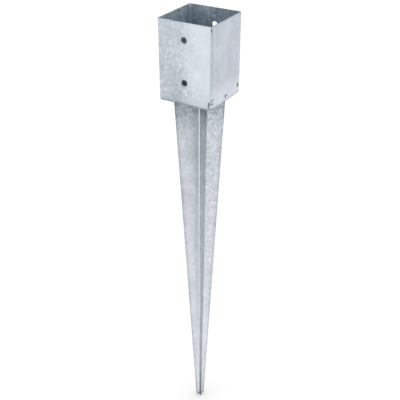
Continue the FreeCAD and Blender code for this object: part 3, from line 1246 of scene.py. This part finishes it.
@dataclass
class SpikeBlade(FoldedSheet):
    """Two fins of the spike: one sheet, folded and cut to a taper.

    Places down the blade, in the coat's sizes, are shares of its length from the top. The fold's
    painted highlight, and the painted shade beside it, wander off its middle on the way down, and
    "lean" is the distance from them in half folds.
    """

    corner: float = -FIN_BACK
    top: float = SPIKE_TOP
    tip: float = SPIKE_TIP
    top_reach: float = 48.37 * MM
    tip_reach: float = 8.5 * MM
    corner_radius: float = 0.6 * MM
    # Painted light on the blade's cut edges.
    painted_edge_light: float = -0.65
    lump_height: float = 0.12 * MM
    lump_size: float = 22.0 * MM
    grid: float = 4.0 * MM
    folds: int = 16
    edge_fade: float = 2.2 * MM
    # Painted light: the blade gets lighter from the top towards the tip.
    shade_ends: Pair = (0.08, -0.30)
    tip_shade: Drift = Drift(0.2, 0.88, 1.0)
    # Painted shadow on the blade just under the socket.
    neck_shade: Drift = Drift(0.2, -22.0 * MM, -2.0 * MM)
    cast_ends: Pair = (0.3, 0.1)
    low_cast: Drift = Drift(0.35, 0.6, 0.95)
    lump_ends: Pair = (1.3, 0.4)
    inside_lumps: float = 0.55
    # Darker blotches at the top: partly weld blotches, partly painted shade under the socket, reaching
    # further down the inner faces.
    burn_and_shade_depth: float = 0.9
    burn_and_shade_top: float = -5.0 * MM
    burn_and_shade_foot: float = -75.0 * MM
    inside_burn_and_shade_feet: Pair = (-90.0 * MM, -50.0 * MM)
    # Painted highlight along the inner fold, and painted shade on the strip beside it, growing towards the
    # tip; both wander off the fold's middle lower down.
    wander: Drift = Drift(1.0, 0.1, 0.4)
    wander_lean: float = 0.75
    strip_side: Drift = Drift(1.0, 0.3, 0.7)
    strip_shade: float = 0.14
    strip_drifts: tuple[Drift, ...] = (Drift(0.12, 0.25, 0.5), Drift(0.2, 0.6, 0.8), Drift(0.6, 0.8, 1.0))
    fold_highlight: float = 0.7
    fold_highlight_starts: Pair = (0.62, 0.45)
    fold_highlight_ends: Pair = (0.3, 0.2)

    def blank(self) -> Blank:
        """Lay out the tapered flat sheet.

        Returns:
            The blank.
        """
        wide, narrow = self.run_to(self.top_reach), self.run_to(self.tip_reach)
        corners = ((-narrow, self.tip), (narrow, self.tip), (wide, self.top), (-wide, self.top))
        outline = Outline(corners, self.corner_radius, painted_edge_shade=self.painted_edge_light)
        return Blank(outline, (), self.grid, self.rounding, self.columns(wide, wide))

    def coat(self, run: float, facing: float, rise: float) -> Coat:
        """Say how the zinc is, with light and shade painted on: darker at the top, partly weld blotches
        and partly painted shade under the socket, and lighter towards the tip, which is painted light.

        Args:
            run: Along the blank, from the middle of the fold.
            facing: 1 on the outer face and -1 on the inner one.
            rise: The height.

        Returns:
            The coat there.
        """
        down = (self.top - rise) / (self.top - self.tip)
        shade = between(self.shade_ends, down) + self.tip_shade.at(down) + self.neck_shade.at(rise)
        lumps = between(self.lump_ends, down)
        burn_and_shade_foot = self.burn_and_shade_foot
        if facing < 0:
            shade += self._fold_shade(run, down)
            lumps = self.inside_lumps
            burn_and_shade_foot = self.inside_burn_and_shade_feet[0 if run < 0 else 1]
        burn_and_shade = self.burn_and_shade_depth * fade(rise, burn_and_shade_foot, self.burn_and_shade_top)
        return Coat(shade, burn_and_shade, between(self.cast_ends, down) + self.low_cast.at(down), lumps)

    def _fold_shade(self, run: float, down: float) -> float:
        """Paint light and shade on the inner face: a painted highlight along the fold, and painted shade
        on the strip beside it.

        Args:
            run: Along the blank, from the middle of the fold.
            down: Share of the blade's length from the top.

        Returns:
            How much painted shade there is, below 0 on the painted highlight.
        """
        wander = self.wander.at(down)
        lean = run / self.half_bend + self.wander_lean * wander
        strip = self.strip_shade + sum(drift.at(down) for drift in self.strip_drifts)
        edges = between(self.fold_highlight_starts, wander), between(self.fold_highlight_ends, wander)
        return strip * self.strip_side.at(lean) - self.fold_highlight * fade(abs(lean), *edges)


@dataclass
class BasePlate(SheetPart):
    """The square plate that the post stands on, with cut corners and a tab into each side wall."""

    thickness: float = SEAT - UNDERSIDE
    seat: float = SEAT
    half: float = PLATE_EDGE
    corner_cut: float = 6.0 * MM
    corner_radius: float = 0.3 * MM
    tab_reach: float = WALL_FACE - 0.1 * MM
    tab_half: float = 4.5 * MM
    tab_drop: float = 0.4 * MM

    def blank(self) -> Blank:
        """Lay out the flat plate, with the run along X and the rise along Y.

        Returns:
            The blank.
        """
        half, cut = self.half, self.half - self.corner_cut
        quarter = [(cut, -half), (half, -cut), (half, -self.tab_half), (self.tab_reach, -self.tab_half)]
        quarter += [(self.tab_reach, self.tab_half), (half, self.tab_half), (half, cut), (cut, half)]
        corners = tuple(quarter + [(-x, -y) for x, y in quarter])
        columns = tuple(-half + self.grid * i for i in range(1, int(2 * half / self.grid) + 1))
        outline = Outline(corners, self.corner_radius)
        return Blank(outline, (), self.grid, self.rounding, columns)

    def place(self, run: float, depth: float, rise: float) -> tuple[Vector, Vector]:
        """Find where a point of the blank lies on the plate, whose tabs are dropped a little.

        Args:
            run: Along X.
            depth: Below the plate's top face.
            rise: Along Y.

        Returns:
            The point, and the direction up.
        """
        drop = 0.0
        if abs(run) > self.half:
            drop = self.tab_drop * (1 - depth / self.thickness)
        return Vector((run, rise, self.seat - depth - drop)), Vector((0, 0, 1))


# ---------------------------------------------------------------------------------------------
# Welds
# ---------------------------------------------------------------------------------------------


class WeldMesh(CoatedMesh):
    """Collects weld runs and spatter into one mesh."""

    plain = Coat(shade=-0.1, burn_and_shade=0.35)

    def run(self, sections: list[list[Vector]], coats: list[list[Coat]] | None = None) -> None:
        """Skin closed cross-sections along a run, and cap both ends.

        Args:
            sections: Rings with the same number of points, in order along the run.
            coats: The coat at each point, or None for a plain blotched one.
        """
        rings = []
        for index, section in enumerate(sections):
            worn = coats[index] if coats else [self.plain] * len(section)
            rings.append([self.vertex(point, coat) for point, coat in zip(section, worn)])
        self.skin(rings)
        self.build.faces.new(list(reversed(rings[0])))
        self.build.faces.new(rings[-1])

    def drop(self, centre: Vector, normal: Vector, radius: float, flatness: float = 0.5) -> None:
        """Add a drop of spatter, sunk a little into the surface.

        Args:
            centre: A point on the surface.
            normal: The surface's direction.
            radius: Of the drop.
            flatness: The drop's height as a share of its radius.
        """
        made = bmesh.ops.create_icosphere(self.build, subdivisions=2, radius=radius)
        squeeze = Matrix.Diagonal((1.0, 1.0, flatness, 1.0))
        aim = normal.to_track_quat("Z", "Y").to_matrix().to_4x4()
        where = Matrix.Translation(centre) @ aim @ squeeze
        bmesh.ops.transform(self.build, matrix=where, verts=made["verts"])


def ripple(along: float, across: float, pitch: float) -> float:
    """Shape a weld's ripples: crescents that lag behind at the sides.

    Args:
        along: Distance along the run.
        across: Place across it, from -1 to 1.
        pitch: Distance between ripples.

    Returns:
        The height's share, from 0 to 1.
    """
    lag, sharpness = 0.45, 0.7
    phase = along / pitch + lag * across * across
    return 1.0 - abs(math.sin(math.pi * phase)) ** sharpness


@dataclass
class FilletRun:
    """A fillet weld in the corner between two faces."""

    start: Vector
    along: Vector
    length: float
    side_a: Vector
    side_b: Vector
    leg: float
    pitch: float = 1.7 * MM
    step: float = 0.45 * MM
    columns: int = 9
    bulge: float = 0.09
    sunk: float = 0.15 * MM
    ripple_height: float = 0.16 * MM
    wobble: float = 0.12
    wobble_length: float = 6.0 * MM
    end_leg: float = 0.25
    end_length: float = 1.1
    seed: float = 0.0

    def sections(self) -> list[list[Vector]]:
        """Shape the run's cross-sections.

        Returns:
            Rings of points, each from the root round the weld's face.
        """
        count = max(4, round(self.length / self.step))
        out = (self.side_a + self.side_b).normalized()
        found = []
        for index in range(count + 1):
            travelled = self.length * index / count
            wobble = noise.noise(Vector((travelled / self.wobble_length, self.seed, 0.0)))
            leg = self.leg * self._swell(travelled) * (1 + self.wobble * wobble)
            base = self.start + self.along * travelled
            ring = [base - out * self.sunk]
            for column in range(self.columns):
                share = column / (self.columns - 1)
                arch = 4 * share * (1 - share)
                height = self.bulge * leg * arch
                height += self.ripple_height * arch * ripple(travelled, 2 * share - 1, self.pitch)
                chord = self.side_a * (1 - share) + self.side_b * share
                ring.append(base + chord * leg + out * height)
            found.append(ring)
        return found

    def _swell(self, travelled: float) -> float:
        """Share of the full leg: both ends of a run are rounded off over a little more than a leg."""
        near_end = min(travelled, self.length - travelled) / (self.end_length * self.leg)
        share = min(1.0, near_end)
        return between((self.end_leg, 1.0), math.sqrt(max(0.0, 1 - (1 - share) ** 2)))


@dataclass(frozen=True)
class Tack:
    """A wider stretch at one end of a bead."""

    width: float
    height: float
    length: float
    lumps: float
    taper: Pair = (1.2, 0.8)

    def share(self, distance: float) -> float:
        """How much of a tack the bead is, at a distance from its end."""
        return fade(distance, self.taper[0] * self.length, self.taper[1] * self.length)


@dataclass
class SeamWeld:
    """The bead that closes a socket corner, with a wider tack at each end."""

    face: float = WALL_FACE
    inner: float = WALL_INSIDE
    width: float = 4.4 * MM
    height: float = 0.8 * MM
    foot: Tack = Tack(10.5 * MM, 1.4 * MM, 22.0 * MM, 1.6)
    head: Tack = Tack(7.0 * MM, 1.2 * MM, 10.0 * MM, 0.7)
    bottom: float = SEAM_FOOT
    top: float = SEAM_HEAD
    end_height: float = 0.4
    end_length: float = 2.0 * MM
    lap: float = 0.8 * MM
    lap_wobble: float = 0.5
    lap_fine: float = 0.2
    width_wobble: float = 0.1
    near_proud: float = 0.02 * MM
    far_sunk: float = 0.05 * MM
    sunk: Pair = (1.2 * MM, 0.6 * MM)
    pitch: float = 1.9 * MM
    step: float = 0.4 * MM
    columns: int = 13
    shoulder: float = 0.2
    roundness: float = 0.8
    outward_lean: float = 0.7
    body: float = 0.7
    wobble: float = 0.25
    fine: Pair = (0.1, 0.35)
    ripples: Pair = (0.12, 0.42)
    wobble_length: float = 5.0 * MM
    fine_length: float = 1.8 * MM
    cast: float = 0.2
    lumps: float = 0.15
    tack_shade: float = -0.1
    tack_burn: float = 0.15
    # Painted shade in the crease where the bead meets the wall.
    undercut_shade: Drift = Drift(0.08, 0.4, 0.2)
    pit: Drift = Drift(0.25, 0.35, 0.55)
    pit_side: Drift = Drift(1.0, 0.7, 0.4)
    spatter: int = 22
    spatter_spread: float = 4.0 * MM
    spatter_limit: float = 24.0 * MM
    spatter_radii: Pair = (0.25, 0.55)
    root_leg: float = 1.9 * MM
    root_bottom: float = 11.0 * MM
    root_short: float = 12.0 * MM
    root_ripple: float = 0.05 * MM
    root_coat: Coat = Coat(shade=-0.9, lumps=1.0)
    seed: int = 5

    def mesh(self, name: str, turn: Matrix) -> bpy.types.Mesh:
        """Build the bead, the zinc that has pooled inside the corner, and some spatter.

        Args:
            name: The mesh's name.
            turn: Rotation from the front corner to the weld's own.

        Returns:
            The mesh.
        """
        weld = WeldMesh()
        weld.run(*self._bead())
        root = FilletRun(
            Vector((self.inner, -self.inner, self.root_bottom)),
            Vector((0, 0, 1)),
            self.top - self.root_short,
            Vector((-1, 0, 0)),
            Vector((0, 1, 0)),
            self.root_leg,
            ripple_height=self.root_ripple,
            seed=self.seed,
        )
        sections = root.sections()
        weld.run(sections, [[self.root_coat] * len(ring) for ring in sections])
        dice = random.Random(self.seed)
        for _ in range(self.spatter):
            away = self.width + min(dice.expovariate(1 / self.spatter_spread), self.spatter_limit)
            place = Vector((self.face, -self.face + away, dice.uniform(self.bottom, self.top)))
            weld.drop(place, Vector((1, 0, 0)), dice.uniform(*self.spatter_radii) * MM)
        return weld.finish(name, turn)

    def _bead(self) -> tuple[list[list[Vector]], list[list[Coat]]]:
        """Shape the bead from the bottom to the rim.

        Returns:
            Its cross-sections, each from the joint round the bead's face, and the coats there.
        """
        count = round((self.top - self.bottom) / self.step)
        levels = [self.bottom + (self.top - self.bottom) * index / count for index in range(count + 1)]
        drawn = [self._bead_section(level) for level in levels]
        return [ring for ring, _ in drawn], [coats for _, coats in drawn]

    def _bead_section(self, level: float) -> tuple[list[Vector], list[Coat]]:
        """Shape the bead at one level.

        Args:
            level: Its height.

        Returns:
            The cross-section's points, and the coat at each.
        """
        width, height, foot, head = self._size(level)
        tack = foot + head
        lumps = self.lumps + foot * self.foot.lumps + head * self.head.lumps
        wobble = noise.noise(Vector((level / self.wobble_length, self.seed, 0.0)))
        fine = noise.noise(Vector((level / self.fine_length, self.seed, 8.0)))
        lap = self.lap * (1.0 + self.lap_wobble * wobble + self.lap_fine * fine)
        swell = self.body + self.wobble * wobble + between(self.fine, tack) * fine
        near = Vector((self.face - lap, -self.face - self.near_proud, level))
        shoulder = Vector((self.face, -self.face, level))
        width *= 1 + self.width_wobble * wobble
        far = Vector((self.face - self.far_sunk, -self.face + width, level))
        ring = [Vector((self.face - self.sunk[0], -self.face + self.sunk[1], level))]
        coats = [Coat()]
        for column in range(self.columns):
            share = column / (self.columns - 1)
            arch = math.sin(math.pi * share) ** self.roundness
            crest = between(self.ripples, tack) * ripple(level, 2 * share - 1, self.pitch)
            rise = height * arch * (swell + crest)
            if share < self.shoulder:
                flat = near.lerp(shoulder, share / self.shoulder)
            else:
                flat = shoulder.lerp(far, (share - self.shoulder) / (1 - self.shoulder))
            lean = Vector((1.0, -self.outward_lean * (1 - share) ** 2, 0)).normalized()
            ring.append(flat + lean * rise)
            shade = self.undercut_shade.at(share) * (1 + wobble) + self.tack_shade * tack
            shade += self.pit.at(fine) * self.pit_side.at(share)
            coats.append(Coat(shade, self.tack_burn * tack, self.cast, lumps))
        return ring, coats

    def _size(self, level: float) -> tuple[float, float, float, float]:
        """Size the bead at a level.

        Args:
            level: The height above the socket's bottom edge.

        Returns:
            Its width and height, and how much of the foot's and of the head's tack it is.
        """
        foot = self.foot.share(level - self.bottom)
        head = self.head.share(self.top - level)
        width = self.width + (self.foot.width - self.width) * foot
        width += (self.head.width - self.width) * head
        height = self.height + (self.foot.height - self.height) * foot
        height += (self.head.height - self.height) * head
        end = min(1.0, min(level - self.bottom, self.top - level) / self.end_length)
        height *= between((self.end_height, 1.0), math.sqrt(1 - (1 - end) ** 2))
        return width, height, foot, head


@dataclass
class WeldShop:
    """Makes every weld mesh but the seams."""

    wall: float = WALL_INSIDE
    underside: float = UNDERSIDE
    plate_leg: float = 3.5 * MM
    plate_length: float = 40.0 * MM
    root_leg: float = 4.0 * MM
    root_start: float = 10.0 * MM
    root_length: float = 32.0 * MM
    spine_reach: float = 5.4 * MM
    spine_length: float = 30.0 * MM
    spine_count: int = 5
    spine_pitch: float = 150.0 * MM
    spine_first: float = 45.0 * MM
    spine_sunk: float = 0.6 * MM

    def plate_weld(self, name: str, turn: Matrix) -> bpy.types.Mesh:
        """Make the fillet between the base plate's underside and a wall.

        Args:
            name: The mesh's name.
            turn: Rotation from the front wall to the weld's own.

        Returns:
            The mesh.
        """
        weld = WeldMesh()
        start = Vector((-self.plate_length / 2, -self.wall, self.underside))
        sides = (Vector((0, 1, 0)), Vector((0, 0, -1)))
        run = FilletRun(start, Vector((1, 0, 0)), self.plate_length, *sides, self.plate_leg)
        weld.run(run.sections())
        return weld.finish(name, turn)

    def root_weld(self, name: str, turn: Matrix, mirrored: bool) -> bpy.types.Mesh:
        """Make the two fillets between a fin, drawn along X, and the base plate's underside.

        Args:
            name: The mesh's name.
            turn: Rotation that takes the fin to its corner.
            mirrored: Whether the fin lies on the other side of its axis.

        Returns:
            The mesh.
        """
        weld = WeldMesh()
        hand = -1.0 if mirrored else 1.0
        for level, facing in ((SHEET - FIN_BACK, 1.0), (-FIN_BACK, -1.0)):
            start = Vector((self.root_start, hand * level, self.underside))
            sides = (Vector((0, hand * facing, 0)), Vector((0, 0, -1)))
            along = Vector((1, 0, 0))
            run = FilletRun(start, along, self.root_length, *sides, self.root_leg, seed=facing)
            weld.run(run.sections())
        return weld.finish(name, turn)

    def spine_weld(self, name: str, turn: Matrix) -> bpy.types.Mesh:
        """Make the row of stitches in one groove between the blades' backs.

        Args:
            name: The mesh's name.
            turn: Rotation that takes the groove to its side.

        Returns:
            The mesh.
        """
        weld = WeldMesh()
        sides = (Vector((1, 0, 0)), Vector((0, -1, 0)))
        leg = self.spine_reach - FIN_BACK
        for index in range(self.spine_count):
            top = self.underside - self.spine_first - index * self.spine_pitch
            start = Vector((FIN_BACK, -FIN_BACK, top - self.spine_length))
            run = FilletRun(start, Vector((0, 0, 1)), self.spine_length, *sides, leg, seed=index)
            sections = run.sections()
            for ring in sections:
                ring[0] = Vector((self.spine_sunk, -self.spine_sunk, ring[0].z))
            weld.run(sections)
        return weld.finish(name, turn)


# ---------------------------------------------------------------------------------------------
# The anchor and its studio
# ---------------------------------------------------------------------------------------------


FINISHES = (
    GalvanisedFinish(
        Slot.SOCKET,
        dark=(0.33, 0.37, 0.41),
        middle=(0.57, 0.615, 0.66),
        light=(0.76, 0.81, 0.865),
    ),
    # Darker than the socket's colours: painted shade on the plate, which lies inside the socket.
    GalvanisedFinish(
        Slot.PLATE,
        dark=(0.30, 0.34, 0.38),
        middle=(0.49, 0.54, 0.59),
        light=(0.68, 0.74, 0.79),
    ),
    GalvanisedFinish(
        Slot.SPIKE,
        dark=(0.33, 0.365, 0.40),
        middle=(0.597, 0.634, 0.673),
        light=(0.84, 0.86, 0.88),
        streak_weight=0.06,
        spangle_scale=190.0,
        spangle_weight=0.16,
        pearl_scale=140.0,
        pearl_wander=7 * MM,
        edge_weight=-0.5,
        rough_low=0.26,
        rough_high=0.42,
    ),
    GalvanisedFinish(
        Slot.WELD,
        dark=(0.10, 0.12, 0.14),
        middle=(0.53, 0.575, 0.62),
        light=(0.88, 0.92, 0.95),
        cloud_weight=0.15,
        mottle_scale=240.0,
        mottle_weight=1.0,
        pearl_weight=0.2,
        streak_weight=0.0,
        rough_low=0.4,
        rough_high=0.6,
        burn_and_shade_depth=0.9,
        burn_and_shade_scale=300.0,
        relief=0.2 * MM,
    ),
)


@dataclass
class Anchor:
    """Puts every piece in place of its CAD node, with its material."""

    materials: dict[Slot, bpy.types.Material]
    shell_seeds: Pair = (0.0, 31.0)
    seam_seeds: tuple[int, int] = (5, 6)
    blade_seeds: Pair = (60.0, 77.0)
    plate_seed: float = 9.0

    def add(self, node: str, mesh: bpy.types.Mesh, slot: Slot) -> None:
        """Add one piece.

        Args:
            node: The CAD node that it stands for.
            mesh: Its shape, in place.
            slot: Its material slot.
        """
        piece = bpy.data.objects.new(node + "_look", mesh)
        bpy.context.scene.collection.objects.link(piece)
        mesh.materials.append(self.materials[slot])
        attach(piece, BODY)
        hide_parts(node)
        LOG.info("%s: %d vertices", piece.name, len(mesh.vertices))

    def build(self) -> None:
        """Build all the pieces."""
        self._socket()
        self._spike()
        self._plate_and_spike_welds()

    def _socket(self) -> None:
        """The two shells, the seams between them, and the base plate."""
        seeds = zip((Side.FRONT, Side.REAR), self.shell_seeds, self.seam_seeds)
        for side, shell_seed, seam_seed in seeds:
            end = side.name.lower()
            shell = SocketShell(seed=shell_seed)
            self.add(f"socket_shell_{end}", shell.mesh(f"shell_{end}", side.turn()), Slot.SOCKET)
            seam = SeamWeld(seed=seam_seed)
            self.add(f"seam_weld_{end}", seam.mesh(f"seam_{end}", side.turn()), Slot.WELD)
        plate = BasePlate(seed=self.plate_seed)
        self.add("base_plate", plate.mesh("plate", Matrix.Identity(4)), Slot.PLATE)

    def _spike(self) -> None:
        """The two blades, each turned so that its first fin is the one named after the side."""
        blades = (("rear", Side.RIGHT), ("front", Side.LEFT))
        for (end, side), seed in zip(blades, self.blade_seeds):
            blade = SpikeBlade(seed=seed)
            self.add(f"blade_{end}", blade.mesh(f"blade_{end}", side.turn(FIN_TURN)), Slot.SPIKE)

    def _plate_and_spike_welds(self) -> None:
        """The welds under the base plate and along the spike's axis."""
        shop = WeldShop()
        for side in Side:
            name = f"plate_weld_{side.name.lower()}"
            self.add(name, shop.plate_weld(name, side.turn()), Slot.WELD)
        for side in (Side.RIGHT, Side.REAR, Side.LEFT, Side.FRONT):
            name = f"root_weld_{side.name.lower()}"
            mirrored = side in (Side.REAR, Side.FRONT)
            self.add(name, shop.root_weld(name, side.turn(FIN_TURN), mirrored), Slot.WELD)
        for side in (Side.RIGHT, Side.LEFT):
            name = f"spine_weld_{side.name.lower()}"
            self.add(name, shop.spine_weld(name, side.turn(FIN_TURN)), Slot.WELD)


@dataclass
class Studio:
    """A white floor, even soft light and the camera."""

    floor_level: float
    floor_radius: float = 12.0
    floor_segments: int = 64
    floor_grey: float = 0.93
    world_strength: float = 1.12
    target: Vector = field(default_factory=lambda: Vector((0.0, 0.0, -0.2211)))
    azimuth: float = math.radians(30.8)
    elevation: float = math.radians(31.345)
    distance: float = 1.3484
    lens: float = 61.82
    sensor: float = 36.0
    farthest: float = 100.0

    def build(self) -> None:
        """Add floor, light and camera."""
        self._floor()
        self._world()
        self._camera()
        bpy.context.scene.view_settings.view_transform = "Standard"

    def _floor(self) -> None:
        """A round, pale, matt floor under the spike's tip."""
        build = bmesh.new()
        size = {"segments": self.floor_segments, "radius": self.floor_radius}
        bmesh.ops.create_circle(build, cap_ends=True, **size)
        bmesh.ops.translate(build, vec=(0, 0, self.floor_level), verts=build.verts)
        mesh = bpy.data.meshes.new("floor")
        build.to_mesh(mesh)
        build.free()
        floor = bpy.data.objects.new("floor", mesh)
        bpy.context.scene.collection.objects.link(floor)
        pale = bpy.data.materials.new("floor_pale")
        pale.use_nodes = True
        shader = pale.node_tree.nodes["Principled BSDF"]
        shader.inputs["Base Color"].default_value = (*[self.floor_grey] * 3, 1.0)
        shader.inputs["Roughness"].default_value = 1.0
        shader.inputs["Specular IOR Level"].default_value = 0.0
        mesh.materials.append(pale)

    def _world(self) -> None:
        """Even white light from all round."""
        world = bpy.data.worlds.new("studio")
        world.use_nodes = True
        shader = world.node_tree.nodes["Background"]
        shader.inputs["Color"].default_value = (1.0, 1.0, 1.0, 1.0)
        shader.inputs["Strength"].default_value = self.world_strength
        bpy.context.scene.world = world

    def _camera(self) -> None:
        """Look down at the object from the front and a little from the right."""
        data = bpy.data.cameras.new("camera")
        data.lens = self.lens
        data.sensor_width = self.sensor
        data.clip_end = self.farthest
        camera = bpy.data.objects.new("camera", data)
        level = math.cos(self.elevation)
        east, south = math.sin(self.azimuth) * level, math.cos(self.azimuth) * level
        back = Vector((east, -south, math.sin(self.elevation)))
        camera.location = self.target + back * self.distance
        camera.rotation_euler = back.to_track_quat("Z", "Y").to_euler()
        bpy.context.scene.collection.objects.link(camera)
        bpy.context.scene.camera = camera


def main() -> None:
    """Build the scene, with the floor at the CAD parts' lowest point."""
    logging.basicConfig(level=logging.INFO, format="%(name)s: %(message)s")
    effects = ZincEffects()
    materials = {finish.slot: finish.material(effects) for finish in FINISHES}
    Anchor(materials).build()
    lowest = min(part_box(node)[0].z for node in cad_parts)
    Studio(floor_level=lowest).build()


if __name__ == "__main__":
    main()
